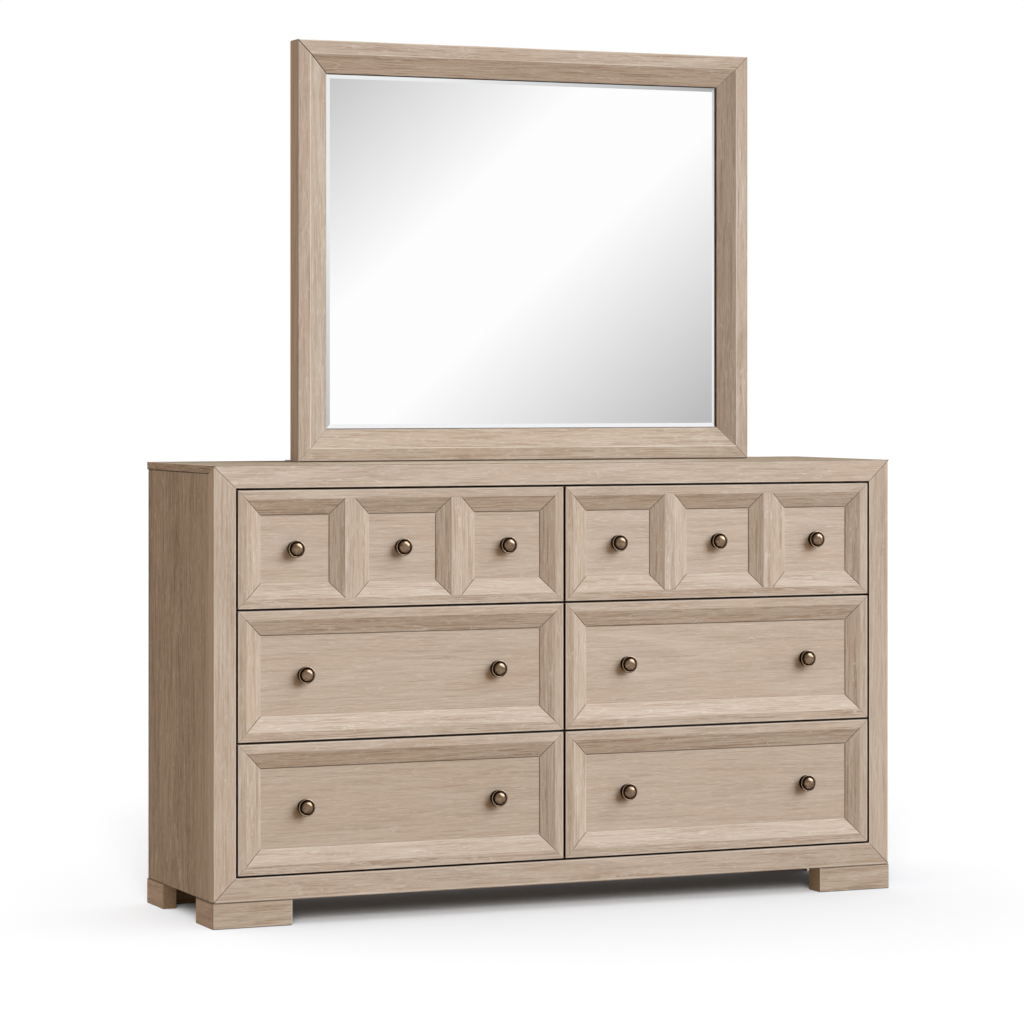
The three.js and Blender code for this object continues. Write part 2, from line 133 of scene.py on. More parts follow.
def board(section, origin, across, deep, along, start, end, joints=(1, 1), figure=None, tone=None, bold=0.5):
    """One board: a section of (across, deep) points carried along a straight length. The ends lie at
    start(across, deep) and end(across, deep) along it; ring k stands its step inside them, and the
    outermost rings are drawn in towards the middle of the section, so that a joint reads as a fine
    groove, as deep as its number in joints. A 0 there is a free end. The board keeps its own place in
    the log, its wear and shade, which holds rubbed edges, dark joints, painted highlights and painted
    shade, its tone and how bold its figure is, where a tone may be one for each point of the section."""
    outline, worn_and_shaded = section
    after = np.roll(outline, -1, 0)
    turned = np.sign(np.sum(outline[:, 0] * after[:, 1] - after[:, 0] * outline[:, 1]))
    ahead = after - np.roll(outline, 1, 0)
    inward = turned * np.stack([-ahead[:, 1], ahead[:, 0]], 1) / np.linalg.norm(ahead, axis=1)[:, None]
    rings, wears = [], []
    for limit, sign, joint in ((start, 1, joints[0]), (end, -1, joints[1])):
        steps = ring_steps * (joint or 1)
        drawn = groove_depth * joint if joint else end_rounding
        darkening = -min(1, 0.75 * joint)
        wear = (darkening, darkening * 0.85, 0.25, 0) if joint else end_wear
        flat = outline[None] + inward[None] * drawn[:, None, None]
        place = limit(flat[..., 0], flat[..., 1]) + sign * steps[:, None]
        rings.append(np.concatenate([place[..., None], flat], 2)[::sign])
        layer = np.array(wear)[:, None]
        paler = np.where(layer > 0, np.maximum(worn_and_shaded, layer), worn_and_shaded)
        wears.append(np.where(layer < 0, np.minimum(worn_and_shaded, layer), paler)[::sign])
    local = np.concatenate(rings).reshape(-1, 3)
    count, total = len(outline), len(rings[0]) + len(rings[1])
    here = np.arange(count)
    following = np.roll(here, -1)
    base = (np.arange(total - 1) * count)[:, None]
    quads = np.stack([base + here, base + following, base + count + following, base + count + here], 2)
    caps = [list(here[::-1]), list(here + (total - 1) * count)]
    place_in_log = (dice.uniform(0, 9), *(figure or (dice.uniform(-0.04, 0.04), dice.uniform(0.05, 0.13))))
    return dict(
        points=np.asarray(origin) + local @ np.stack([along, across, deep]),
        quads=quads.reshape(-1, 4),
        caps=caps,
        grain=local + np.array(place_in_log),
        wear=np.concatenate(wears).reshape(-1),
        tone=np.resize(dice.uniform(-1, 1) if tone is None else tone, count * total),
        bold=np.resize(bold, count * total),
    )


def square_at(distance):
    """The end of a board that is cut square, so many metres along it."""
    return lambda across, deep: across * 0 + distance


def new_piece(name, points, faces, materials, **traits):
    """A mesh object in world places, with its faces turned outwards and its traits as attributes."""
    mesh = bpy.data.meshes.new(name)
    mesh.from_pydata(points.reshape(-1, 3).tolist(), [], faces)
    for trait, values in traits.items():
        kind, field = ("FLOAT_VECTOR", "vector") if values.ndim == 2 else ("FLOAT", "value")
        mesh.attributes.new(trait, kind, "POINT").data.foreach_set(field, values.astype(np.float32).ravel())
    shell = bmesh.new()
    shell.from_mesh(mesh)
    bmesh.ops.recalc_face_normals(shell, faces=shell.faces)
    shell.to_mesh(mesh)
    shell.free()
    for material in materials:
        mesh.materials.append(material)
    piece = bpy.data.objects.new(name, mesh)
    bpy.context.scene.collection.objects.link(piece)
    return piece


def assemble(name, boards, material, body, slot, *nodes):
    """Joins boards into one piece. Each board stays a closed shell with its own attributes."""
    sizes = [len(b["points"]) for b in boards]
    first = np.concatenate([[0], np.cumsum(sizes)[:-1]])
    faces = [face for b, at in zip(boards, first) for face in (b["quads"] + at).tolist()]
    faces += [[v + int(at) for v in cap] for b, at in zip(boards, first) for cap in b["caps"]]
    points, grain, wear, tone, bold = (
        np.concatenate([b[key] for b in boards]) for key in ("points", "grain", "wear", "tone", "bold"))
    piece = new_piece(name, points, faces, [material], grain=grain, wear=wear, tone=tone, bold=bold)
    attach(piece, body)
    if nodes:
        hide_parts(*nodes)


def paint(*levels):
    """A colour written as three levels from 0 to 255, as the linear colour that a shader wants."""
    part = np.array(levels) / 255
    return (*np.where(part <= 0.04045, part / 12.92, ((part + 0.055) / 1.055) ** 2.4), 1.0)


def knot(tree, kind, inputs=(), **settings):
    """Adds a shader node. An input that is another node's output is linked, any other is set."""
    node = tree.nodes.new("ShaderNode" + kind)
    for key, value in settings.items():
        setattr(node, key, value)
    for key, value in dict(inputs).items():
        if isinstance(value, bpy.types.NodeSocket):
            tree.links.new(value, node.inputs[key])
        else:
            node.inputs[key].default_value = value
    return node


def math_of(tree, operation, *values):
    """One sum on numbers or outputs, in a Math node."""
    return knot(tree, "Math", dict(enumerate(values)), operation=operation).outputs[0]


def spread(tree, value, low, high, to_low=0.0, to_high=1.0):
    """A value carried in a straight line from one range to another, and held at its ends."""
    return knot(tree, "MapRange", {0: value, 1: low, 2: high, 3: to_low, 4: to_high}).outputs[0]


def blend_of(tree, share, under, over):
    """A colour under, with a share from 0 to 1 of the colour over it."""
    return knot(tree, "Mix", {0: share, 6: under, 7: over}, data_type="RGBA").outputs[2]


def sawn_wood(name, dark, middle, light, pore, streak, blush, along=None, pores=0.5, streaks=0.45,
              contrast=1.0, shade_depth=None):
    """A board cut from a log. The colour follows the growth rings, which are bands of the distance
    from the log's heart, then broad tones and fibres that are noise stretched along the grain, then
    a warm blush, brown streaks, short pale pores, and pale hairlines, which are the contours of a
    swirled noise and of the rings. Boards bring their place in the log, their wear and shade, tone and
    figure as attributes; the wear and shade turns the colour pale for rubbed edges and painted
    highlights, and dark for joints and painted shade. A CAD piece reads its own object coordinates,
    with the grain along the axis named, and may be painted dark in front of a depth, a painted shade
    on edges that show only in the gaps."""
    material = bpy.data.materials.new(name)
    material.use_nodes = True
    tree = material.node_tree
    shader = tree.nodes["Principled BSDF"]
    shader.inputs["Specular IOR Level"].default_value = 0.2
    bold = 0.5
    if along is None:
        grain = knot(tree, "Attribute", attribute_name="grain").outputs["Vector"]
        bold = knot(tree, "Attribute", attribute_name="bold").outputs["Fac"]
    else:
        place_in_log = (0.0, 0.01, 0.08)
        place = knot(tree, "TexCoord").outputs["Object"]
        parts = knot(tree, "SeparateXYZ", {0: place})
        order = {"x": "XZY", "y": "YZX"}[along]
        turned = knot(tree, "CombineXYZ", {i: parts.outputs[axis] for i, axis in enumerate(order)}).outputs[0]
        grain = knot(tree, "VectorMath", {0: turned, 1: place_in_log}, operation="ADD").outputs[0]

    def stretched(long, wide, detail=2.0, rough=0.55, warp=0.0, move=0.0):
        """Noise whose marks are about so many metres long and wide, moved to differ from the others."""
        reach = knot(tree, "VectorMath", {0: grain, 1: (1 / long, 1 / wide, 1 / wide), 2: (move, move, move)},
                     operation="MULTIPLY_ADD")
        noise = knot(tree, "TexNoise", {"Vector": reach.outputs[0], "Scale": 1.0, "Detail": detail,
                                        "Roughness": rough, "Distortion": warp})
        return noise.outputs[0]

    def by_figure(value, calm, lively):
        """A value scaled by how bold the board's figure is."""
        return math_of(tree, "MULTIPLY", value, spread(tree, bold, 0.0, 1.0, calm, lively))

    sway = math_of(tree, "MULTIPLY_ADD", stretched(0.3, 0.06), 0.036, -0.018)
    spot = knot(tree, "SeparateXYZ", {0: grain})
    tilt = math_of(tree, "MULTIPLY_ADD", spot.outputs[0], 0.02, spot.outputs[2])
    heart = knot(tree, "CombineXYZ", {1: math_of(tree, "ADD", spot.outputs[1], sway), 2: tilt}).outputs[0]
    radius = knot(tree, "VectorMath", {0: heart}, operation="LENGTH").outputs["Value"]
    rings = knot(tree, "TexNoise", {"W": math_of(tree, "MULTIPLY", radius, 300.0), "Scale": 1.0, "Detail": 3.0},
                 noise_dimensions="1D").outputs[0]
    broad = stretched(0.5, 0.03)
    fibre = stretched(0.05, 0.002, detail=3.0, rough=0.65, warp=0.3)
    tones = math_of(tree, "MULTIPLY_ADD", broad, 0.3, math_of(tree, "MULTIPLY", fibre, 0.44))
    mixed = math_of(tree, "MULTIPLY_ADD", rings, 0.26, tones)
    mixed = spread(tree, mixed, 0.5 - 0.17 / contrast, 0.5 + 0.17 / contrast, -0.5, 0.5)
    ramp = knot(tree, "ValToRGB", {0: math_of(tree, "ADD", by_figure(mixed, 0.5, 0.95), 0.5)})
    ramp.color_ramp.elements[0].position, ramp.color_ramp.elements[0].color = 0.0, dark
    ramp.color_ramp.elements[1].position, ramp.color_ramp.elements[1].color = 1.0, light
    centre = ramp.color_ramp.elements.new(0.5)
    centre.color = middle
    cloud = stretched(0.35, 0.05, rough=0.5, warp=0.4, move=4.4)
    warm = spread(tree, cloud, 0.42, 0.66, 0.0, 0.6)
    colour = blend_of(tree, warm, ramp.outputs[0], blush)
    patch = stretched(0.25, 0.008, rough=0.5, warp=0.4, move=3.7)
    patch = spread(tree, patch, 0.54, 0.7, 0.0, streaks)
    colour = blend_of(tree, by_figure(patch, 0.25, 1.5), colour, streak)
    dash = stretched(0.1, 0.0028, detail=1.0, rough=0.5, move=8.1)
    dash = spread(tree, dash, 0.56, 0.68, 0.0, streaks)
    colour = blend_of(tree, by_figure(dash, 0.45, 1.5), colour, streak)
    open_pore = stretched(0.026, 0.0014, detail=1.0, rough=0.5, move=5.3)
    open_pore = spread(tree, open_pore, 0.58, 0.68, 0.0, pores)
    colour = blend_of(tree, by_figure(open_pore, 0.55, 0.85), colour, pore)
    swirl = stretched(0.1, 0.014, detail=1.0, rough=0.5, warp=1.3, move=1.9)
    swirl = math_of(tree, "ABSOLUTE", math_of(tree, "SUBTRACT", swirl, 0.5))
    broken = stretched(0.05, 0.011, detail=1.0, rough=0.5, move=6.6)
    broken = spread(tree, broken, 0.48, 0.6, 0.0, pores)
    hairline = math_of(tree, "MULTIPLY", spread(tree, swirl, 0.018, 0.005), broken)
    colour = blend_of(tree, by_figure(hairline, 0.5, 1.0), colour, pore)
    wobble = math_of(tree, "MULTIPLY_ADD", radius, 190.0, stretched(0.03, 0.012, rough=0.6, move=2.2))
    contour = spread(tree, math_of(tree, "PINGPONG", wobble, 0.5), 0.1, 0.0)
    broken = stretched(0.09, 0.03, detail=1.0, rough=0.5, move=7.7)
    flame = math_of(tree, "MULTIPLY", contour, spread(tree, broken, 0.46, 0.6, 0.0, pores))
    colour = blend_of(tree, by_figure(flame, 0.15, 0.75), colour, pore)
    if along is None:
        tone = knot(tree, "Attribute", attribute_name="tone").outputs["Fac"]
        one_tone = (0.027, 0.031, 0.038)
        paler = knot(tree, "VectorMath", {0: one_tone, "Scale": tone}, operation="SCALE").outputs[0]
        colour = knot(tree, "VectorMath", {0: colour, 1: paler, 2: colour}, operation="MULTIPLY_ADD").outputs[0]
        # Pale for rubbed edges and painted highlights, dark for joints and painted shade in gaps, creases and
        # along the floor
        wear = knot(tree, "Attribute", attribute_name="wear").outputs["Fac"]
        uneven = spread(tree, stretched(0.2, 0.006, rough=0.5, move=9.3), 0.35, 0.65, 0.55, 1.15)
        rub_and_highlight = math_of(tree, "MULTIPLY", spread(tree, wear, 0.0, 1.0, 0.0, 0.8), uneven)
        colour = blend_of(tree, rub_and_highlight, colour, paint(228, 215, 202))
        joint_and_shade = spread(tree, wear, 0.0, -1.0)
        colour = blend_of(tree, joint_and_shade, colour, paint(40, 30, 22))
    # Edges in front of the given depth are painted dark, a painted shade in the gaps between drawers
    elif shade_depth is not None:
        gap_shade = spread(tree, parts.outputs["Y"], shade_depth, shade_depth - 0.004)
        colour = blend_of(tree, gap_shade, colour, paint(30, 23, 17))
    tree.links.new(colour, shader.inputs["Base Color"])
    rough = spread(tree, fibre, 0.3, 0.7, 0.55, 0.67)
    tree.links.new(rough, shader.inputs["Roughness"])
    relief = math_of(tree, "MULTIPLY_ADD", open_pore, -1.0, fibre)
    lift = knot(tree, "Bump", {"Height": relief, "Strength": 0.25, "Distance": 0.0004})
    tree.links.new(lift.outputs[0], shader.inputs["Normal"])
    return material


oak_colours = dict(dark=paint(164, 142, 122), middle=paint(193, 174, 156), light=paint(212, 196, 180),
                   pore=paint(222, 211, 199), streak=paint(158, 131, 107), blush=paint(192, 168, 148))
limed_oak = sawn_wood("limed_oak", **oak_colours)
veneer_colours = {**oak_colours, "dark": paint(148, 127, 106), "blush": paint(188, 172, 152),
                  "streak": paint(150, 128, 106), "pore": paint(228, 218, 206)}
oak_veneer = sawn_wood("oak_veneer", **veneer_colours, pores=0.9, streaks=0.7, contrast=1.65)

lipping = 6
# The top is toned much darker than the other boards, a painted shade on its upward face, and its upper arrises
# are pale, rubbed and a painted highlight
top_boards = [board(
    eased(top_outline, (0.45, 1.2, 1.2, 0.3, 0.3), (0.6, 0.8, 0.3, 0, 0)),
    ((lipping - case_half) * mm, case_face, case_top), BACK, -UP, RIGHT,
    square_at(0), square_at(2 * (case_half - lipping) * mm),
    joints=(0.3, 0.3), figure=(-0.2, 0.09), tone=-13, bold=0.5)]
for place, inward in ((-case_half, RIGHT), (case_half, -RIGHT)):
    # Each lipping's upper arris is pale, a painted highlight, and its lower arris dark, a painted shadow under
    # the overhang
    strip = [(0, 0), (lipping, 0), (lipping, top_thickness), (0, top_thickness)]
    top_boards.append(board(
        eased(strip, (0.8, 0.2, 0.2, 0.5), (1.0, 0, 0, -0.6)),
        (place * mm, case_face, case_top), inward, -UP, BACK,
        lambda across, deep: np.maximum(deep - nose * mm, 0) / slope, square_at(case_depth * mm),
        joints=(0.7, 0), figure=(-0.03, 0.06), tone=2.0, bold=1.0))
assemble("top", top_boards, oak_veneer, "case", "oak_finish", "top_panel")

# Face frame
# Two stiles and two rails of solid oak, mitred from the outer corners to those of the opening and
# held by hidden splines. The top ends of the stiles are cut to the slope of the top's underside.
frame_widths = dict(left=52, right=52, bottom=52, top=49)
frame_bottom, frame_top = 55.3, 990
frame_rect = (-case_half, case_half, frame_bottom, frame_top)
frame_outlines = dict(
    left=[(0, 0), (49.6, 0), (52, 0), (52, frame_thickness), (18.4, frame_thickness), (0, frame_thickness)],
    bottom=[(0, 0), (49.6, 0), (52, 0), (52, frame_thickness), (0, frame_thickness)],
    top=[(1.3, 0), (46.6, 0), (49, 0), (49, frame_thickness), (17.3, frame_thickness)],
)
corner_radius, arris_radius = 4.5, 0.6
mitre_reach, least_gap = 9 * mm, 0.15 * mm

# For each member its tone and how bold its figure is, then how far its mitres have parted at the ends
frame_looks = dict(left=(-0.6, 0.5), right=(-0.8, 0.4), bottom=(-1.8, 0.6), top=(3.2, 0.5))
frame_parted = dict(left=(0.9, 0.25), right=(0.9, 0.25), bottom=(0.9, 0.9), top=(0.25, 0.25))


def member(side, rect, face, section, widths, trim=None, parted=(0, 0), **traits):
    """One of four mitred boards round a rectangle (left, right, bottom, top) in millimetres. Each end
    leans by the width of the board that it meets over its own width, and a trim may cut the far end.
    The mitres have parted at the outer corner by the two widths given, and close at their reach."""
    x0, x1, z0, z1 = (edge * mm for edge in rect)
    upright = side in ("left", "right")
    origin = (x1 if side == "right" else x0, face, z1 if side == "top" else z0)
    across = {"left": RIGHT, "right": -RIGHT, "bottom": UP, "top": -UP}[side]
    length = z1 - z0 if upright else x1 - x0
    near, far = ("bottom", "top") if upright else ("left", "right")
    lean_near, lean_far = widths[near] / widths[side], widths[far] / widths[side]

    def gap(across, opened):
        return least_gap + opened * mm * np.clip(1 - across / mitre_reach, 0, 1)

    def start(across, deep):
        return across * lean_near + gap(across, parted[0])

    def end(across, deep):
        mitre = length - gap(across, parted[1]) - across * lean_far
        return mitre if trim is None else np.minimum(mitre, length + trim(deep))

    return board(section, origin, across, BACK, UP if upright else RIGHT, start, end, **traits)


def under_top(deep):
    """How far below the case's height the stile's end lies, under the slope of the top."""
    return -(nose + 0.3) * mm - deep * slope


def gap_shade_and_highlight(inset, rub_and_highlight, shade_depth=99):
    """A finish for the edge of a board beside a gap: the gap's face and its arris are painted dark, a
    painted shade of the gap, and a line along the arris is made pale, a rubbed edge and a painted
    highlight. inset(across) is the distance from that edge, and the painted shade ends at the depth
    given last."""
    def finish(across, deep, wear):
        away = inset(across)
        wear = np.where((away < 0.1) & (deep > 0.5) & (deep < shade_depth), -1, wear)
        return np.where((away > 0.9) & (away < 2.8) & (deep < 0.01), rub_and_highlight, wear)
    return finish


frame_rub_and_highlight = dict(left=0.55, right=0.55, bottom=0.6, top=0.3)
for side in ("left", "right", "bottom", "top"):
    outline = frame_outlines["left" if side == "right" else side]
    width, rub_and_highlight = frame_widths[side], frame_rub_and_highlight[side]
    shade_and_highlight = gap_shade_and_highlight(lambda across: width - across, rub_and_highlight)
    radii = [corner_radius if point == (0, 0) else arris_radius for point in outline]
    # Corners: the outer arris and the shoulder beside the opening are pale, rubbed and a painted highlight, and
    # the arris at the opening is dark, a painted shade of the gap
    worn_and_shaded = [0.3 if y else -0.6 if x == width else rub_and_highlight if x > 2 else 0.8 for x, y in outline]
    # The outer face of each member is made pale as well, a painted light
    section = eased(outline, radii, worn_and_shaded, fade=0.4, steps=6, finish=lambda across, deep, wear: shade_and_highlight(
        across, deep, np.where(across < 0.1, np.maximum(wear, 1.0), wear)))
    trim = under_top if side in ("left", "right") else None
    tone, bold = frame_looks[side]
    # Painted light: the outer face is toned paler, so that the side of a stile reads as lit
    tone += 5 * (section[0][:, 0] < 0.1 * mm)
    piece = member(side, frame_rect, case_face, section, frame_widths, trim, frame_parted[side],
                   joints=(0.9, 0.9), tone=tone, bold=bold)
    kind = "stile" if trim else "rail"
    assemble(f"face_{kind}_{side}_board", [piece], limed_oak, "case", "oak_finish", f"face_{kind}_{side}")

# Sides
# Wide veneered boards with the grain upright, set in a little behind the edges of the frame and
# of the top, and rebated at the back for the case's back.
side_front, side_middle, side_thickness = frame_thickness + 0.3, 170, 18
rebate_front, rebate_floor = case_depth - 6, 9
side_outline = [
    (side_front, 0), (side_middle, 0), (case_depth, 0), (case_depth, rebate_floor),
    (rebate_front, rebate_floor), (rebate_front, side_thickness), (side_front, side_thickness)]
# A strip just behind the front edge is made pale, a painted highlight beside the stile; the front arris is dark
# where it meets the stile, and the rear edge is darker over its last millimetres
highlight_from, highlight_to = side_front + 0.7, side_front + 2.7
side_section = eased(
    side_outline, (0.2, 0.2, 0.8, 0.2, 0.2, 0.2, 0.2), (-0.8, 0, -1.0, 0, 0, 0, 0),
    fade=(1.4, 1.4, 9, 1, 1, 1, 1),
    finish=lambda across, deep, wear: np.where((across > highlight_from) & (across < highlight_to), 0.45, wear))
for side, inward in (("left", RIGHT), ("right", -RIGHT)):
    low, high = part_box(f"side_panel_{side}")
    origin = (low.x if side == "left" else high.x, case_face, low.z)
    rise = high.z - low.z
    # The top end's joint is drawn darker than the bottom's, in part a painted shadow under the edge of the top
    panel = board(side_section, origin, BACK, inward, UP, square_at(0), square_at(rise),
                  joints=(1, 1.6), figure=(-0.25, 0.07), tone=0.8, bold=1.0)
    assemble(f"side_{side}_board", [panel], oak_veneer, "case", "oak_finish", f"side_panel_{side}")

# Inside of the case
# The bottom, the partition and the frames under the drawers are pale poplar, with their front edges
# painted dark, a painted shade where the gaps show them. The back is thin sheet board in the rebates of the
# sides.
poplar_colours = dict(dark=paint(176, 150, 116), middle=paint(204, 180, 146), light=paint(218, 198, 168),
                      pore=paint(190, 165, 130), streak=paint(168, 140, 104), blush=paint(206, 176, 140))
# The front edges are painted dark up to this depth, a painted shade for the gaps
gap_shade_end = case_face + 36 * mm
poplar = dict(**poplar_colours, pores=0.3, streaks=0.3)
poplar_long = sawn_wood("poplar_long", **poplar, along="x", shade_depth=gap_shade_end)
poplar_upright = sawn_wood("poplar_upright", **poplar, along="y", shade_depth=gap_shade_end)
poplar_deep = sawn_wood("poplar_deep", **poplar, along="y")


def coat(material, *nodes):
    """Gives CAD nodes a material in place of their plain one."""
    for node in nodes:
        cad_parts[node].data.materials.clear()
        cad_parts[node].data.materials.append(material)


web_frames = [f"web_frame_{level}_{side}" for level in ("upper", "lower") for side in ("left", "right")]
coat(poplar_long, "bottom_panel", *web_frames)
coat(poplar_upright, "center_partition")


def pressed_board(name, base, fleck):
    """Thin sheet board: an even brown with fine pressed fibres lying every way."""
    material = bpy.data.materials.new(name)
    material.use_nodes = True
    tree = material.node_tree
    shader = tree.nodes["Principled BSDF"]
    place = knot(tree, "TexCoord").outputs["Object"]
    fine = knot(tree, "TexNoise", {"Vector": place, "Scale": 420.0, "Detail": 3.0, "Distortion": 1.5})
    fine = fine.outputs[0]
    cloud = knot(tree, "TexNoise", {"Vector": place, "Scale": 9.0, "Detail": 2.0}).outputs[0]
    share = math_of(tree, "MULTIPLY_ADD", fine, 0.7, math_of(tree, "MULTIPLY", cloud, 0.3))
    colour = blend_of(tree, spread(tree, share, 0.36, 0.64), base, fleck)
    tree.links.new(colour, shader.inputs["Base Color"])
    tree.links.new(spread(tree, fine, 0.3, 0.7, 0.62, 0.8), shader.inputs["Roughness"])
    lift = knot(tree, "Bump", {"Height": fine, "Strength": 0.2, "Distance": 0.0003})
    tree.links.new(lift.outputs[0], shader.inputs["Normal"])
    return material


sheet_board = pressed_board("sheet_board", paint(136, 111, 82), paint(168, 143, 112))
coat(sheet_board, "back_panel")

# Feet
# Bracket feet of thick oak, each a long wing under the frame and a short one under the side. The
# wings are mitred at the corner, so that the grain runs level all the way round.
foot_rise, wing_length, wing_depth, side_length, side_depth = 55, 180, 53, 115, 31


def foot(right, rear):
    """The two wings of one foot. Both are cut at the corner along the line from its outer to its
    inner edge, where the distance along one wing is that across the other."""
    x_way = -RIGHT if right else RIGHT
    y_way = -BACK if rear else BACK
    corner = np.array([case_half if right else -case_half, 0, foot_rise]) * mm
    corner[1] = case_face + (case_depth * mm if rear else 0)
    lean = side_depth / wing_depth

    def wing(depth, upper_arris):
        """A wing's section, a plain rectangle with its arrises eased and darkened: a dark joint line at the top
        and a painted contact shadow along the floor.
        """
        outline = [(0, 0), (foot_rise, 0), (foot_rise, depth), (0, depth)]
        return eased(outline, (upper_arris, 1.2, 1.2, upper_arris), (-0.8, -0.6, -0.6, -0.6))

    # The side wings are toned much paler than the front wings, a painted light from the white floor, and the
    # front wings are toned darker
    return [
        board(wing(wing_depth, 0.5), corner, -UP, y_way, x_way,
              lambda across, deep: deep * lean, square_at(wing_length * mm),
              joints=(1, 0), tone=-4.5 if right else -5.5, bold=0.8),
        board(wing(side_depth, 0.4), corner, -UP, x_way, y_way,
              lambda across, deep: deep / lean, square_at(side_length * mm),
              joints=(1.4, 0), tone=10.5, bold=0.8),
    ]


for end_name in ("front", "rear"):
    for side_name in ("left", "right"):
        wings = foot(side_name == "right", end_name == "rear")
        node = f"foot_{end_name}_{side_name}"
        assemble(f"{node}_wings", wings, limed_oak, "case", "oak_finish", node)

# Drawer fronts
# A front is a flat border and a wide bevelled moulding round each panel, all mitred and glued to a
# flush back. The top fronts have three square panels with flat dividers, the others one long panel.
border, bevel, sink, front_depth, divider = 20, 34, 10, 22, 24
flat_outline = [(0, 0), (2.4, 0), (border, 0), (border, front_depth), (0, front_depth), (0, front_depth / 2)]
bevel_outline = [(0, 0), (bevel, sink - 0.8), (bevel, front_depth), (0, front_depth)]
# How pale the arris beside each gap is, rubbed and a painted highlight; below, the outer arris and the face in
# the gap are dark, a painted shade of the gap
flat_rub_and_highlight = dict(left=0.35, right=0.45, bottom=0.4, top=0.8)
# The crease at each bevel's foot: painted shade at the top and right, which the lamp does not reach, and a
# painted light at the left and bottom. The crease between flat and bevel is pale, a painted highlight
bevel_foot_light_and_shade = dict(left=0.5, right=-0.6, bottom=0.35, top=-0.75)
flat_sections = {
    side: eased(flat_outline, (0.6, 0.3, 0.3, 0.1, 0.3, 0.3), (-0.6, rub_and_highlight, 0.3, 0, 0, -1), fade=0.4,
                finish=gap_shade_and_highlight(lambda across: across, rub_and_highlight, front_depth / 2))
    for side, rub_and_highlight in flat_rub_and_highlight.items()}
bevel_sections = {
    side: eased(bevel_outline, (0.3, 0.4, 0.1, 0.1), (0.3, wear, 0, 0), fade=(0.9, 1.6, 0.9, 0.9))
    for side, wear in bevel_foot_light_and_shade.items()}

# The usual tone and figure of each board, then what a drawer adds: see moulded_front. The tones by side give
# each side the brightness wanted under these lamps, so part of them is painted light and shade by the way each
# board faces.
flat_looks = dict(left=(-3.4, 0.6), right=(0.0, 0.5), bottom=(-1.5, 1.0), top=(0.8, 0.5))
bevel_looks = dict(left=(-3.4, 0.6), right=(0.3, 0.9), bottom=(1.2, 0.55), top=(-2.4, 1.0))
tone_by_place = dict(left_1=(0, 1.2, -2.4), left_2=(0.3, 0.4, 2.6), left_3=(-1.4, -2.8, 0),
                     right_1=(0, 3.6, -1.0), right_2=(1.2, 1.2, 0), right_3=(-0.5, 0, 0))


def plain(length):
    """Square ends a hair inside a length in millimetres."""
    return square_at(0.1 * mm), square_at((length - 0.1) * mm)


def look(usual, shift=0.0):
    """A board's tone, a little off what is usual for its place, and how bold its figure is."""
    tone, bold = usual
    return dict(tone=tone + shift + dice.uniform(-0.5, 0.5), bold=bold)


def moulded_front(rect, face, panel_count, shifts):
    """All the boards of one front, from its outer rectangle in millimetres. The openings share the
    width between the borders, with a divider between each two. The shifts are added to the tones of
    the mouldings, of the panels and, once more, of the mouldings on the right."""
    x0, x1, z0, z1 = rect
    widths = dict.fromkeys(("left", "right", "bottom", "top"), border)
    boards = [member(side, rect, face, flat_sections[side], widths, joints=(0.6, 0.6), **look(flat_looks[side]))
              for side in widths]
    inner_width = (x1 - x0 - 2 * border - (panel_count - 1) * divider) / panel_count
    inner = (z0 + border, z1 - border)
    for i in range(panel_count):
        left = x0 + border + i * (inner_width + divider)
        opening = (left, left + inner_width, *inner)
        widths = dict.fromkeys(widths, bevel)
        boards += [member(side, opening, face, bevel_sections[side], widths, joints=(1.1, 1.1),
                          **look(bevel_looks[side], shifts[0] + (side == "right") * shifts[2]))
                   for side in widths]
        low, high = inner[0] + bevel, inner[1] - bevel
        plate = [(0, 0), (high - low, 0), (high - low, front_depth - sink), (0, front_depth - sink)]
        origin = ((left + bevel) * mm, face + sink * mm, low * mm)
        heart = (-(high - low) * mm * dice.uniform(0.3, 0.7), dice.uniform(0.05, 0.1))
        # The panel's edges are darkened, most at the top and right, a painted shade under the step of the
        # bevels
        boards.append(board(
            eased(plate, 0.4, (-0.1, -0.55, 0, 0), fade=1.0), origin, UP, BACK, RIGHT,
            *plain(inner_width - 2 * bevel), joints=(0.3, 0.6), figure=heart, **look((0, 0.22), shifts[1])))
        if i:
            strip = [(0, 0), (divider, 0), (divider, front_depth), (0, front_depth)]
            origin = ((left - divider) * mm, face, inner[0] * mm)
            # The divider's front arrises are a little pale, rubbed and a painted highlight
            boards.append(board(
                eased(strip, (0.3, 0.3, 0.1, 0.1), (0.3, 0.3, 0, 0)), origin, RIGHT, BACK, UP,
                *plain(inner[1] - inner[0]), joints=(0.5, 0.5), **look((3.6, 0.8))))
    return boards


drawers = [(f"drawer_{side}_{row}", row) for side in ("left", "right") for row in (1, 2, 3)]
for name, row in drawers:
    low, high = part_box(f"{name}_front")
    rect = (low.x / mm, high.x / mm, low.z / mm, high.z / mm)
    boards = moulded_front(rect, case_face, 3 if row == 1 else 1, tone_by_place[name.removeprefix("drawer_")])
    assemble(f"{name}_moulded_front", boards, limed_oak, name, "oak_finish", f"{name}_front")

# Drawer boxes
# Pale poplar sides and back, dovetailed together and into the front, round a thin bottom of sheet
# board that slides in a groove.
for name, row in drawers:
    coat(poplar_deep, f"{name}_box")
    coat(sheet_board, f"{name}_bottom")

